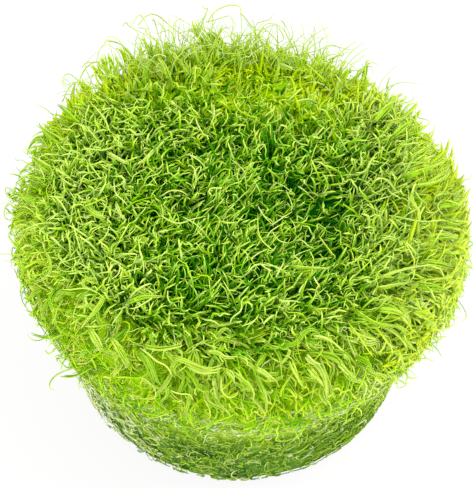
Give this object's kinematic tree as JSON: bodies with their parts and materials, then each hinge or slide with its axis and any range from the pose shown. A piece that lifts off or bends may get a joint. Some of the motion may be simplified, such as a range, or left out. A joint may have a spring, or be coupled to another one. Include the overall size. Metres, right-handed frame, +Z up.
{
  "type": "tissue culture bladderwort",
  "caption": "Round plug of tissue-cultured bladderwort: a tapering runner mat under a thick turf of fine leaves, with strap leaves and runners over the rim.",
  "frame": {"origin": "centre of the flat base that the plug stands on", "axes": "+Z up, through the turf; -Y towards the front, where strap leaves hang over the rim"},
  "size_m": [0.1043, 0.1051, 0.0608],
  "materials": {
    "runner_mat": "felt of pressed pale runners, damp satin",
    "leaf_turf": "fresh leaf green, soft sheen",
    "strap_leaf": "bright yellow-green leaf, soft sheen",
    "runner": "pale translucent stem, soft sheen"
  },
  "bodies": {
    "root": {"runner_mat": "runner_mat", "leaf_turf": "leaf_turf", "strap_leaf_01": "strap_leaf", "strap_leaf_02": "strap_leaf", "strap_leaf_03": "strap_leaf", "strap_leaf_04": "strap_leaf", "strap_leaf_05": "strap_leaf", "strap_leaf_06": "strap_leaf", "strap_leaf_07": "strap_leaf", "strap_leaf_08": "strap_leaf", "strap_leaf_09": "strap_leaf", "strap_leaf_10": "strap_leaf", "strap_leaf_11": "strap_leaf", "strap_leaf_12": "strap_leaf", "strap_leaf_13": "strap_leaf", "strap_leaf_14": "strap_leaf", "strap_leaf_15": "strap_leaf", "strap_leaf_16": "strap_leaf", "strap_leaf_17": "strap_leaf", "strap_leaf_18": "strap_leaf", "strap_leaf_19": "strap_leaf", "strap_leaf_20": "strap_leaf", "strap_leaf_21": "strap_leaf", "strap_leaf_22": "strap_leaf", "strap_leaf_23": "strap_leaf", "strap_leaf_24": "strap_leaf", "strap_leaf_25": "strap_leaf", "strap_leaf_26": "strap_leaf", "strap_leaf_27": "strap_leaf", "strap_leaf_28": "strap_leaf", "strap_leaf_29": "strap_leaf", "strap_leaf_30": "strap_leaf", "strap_leaf_31": "strap_leaf", "runner_01": "runner", "runner_02": "runner", "runner_03": "runner", "runner_04": "runner", "runner_05": "runner", "runner_06": "runner", "runner_07": "runner"}
  },
  "joints": []
}
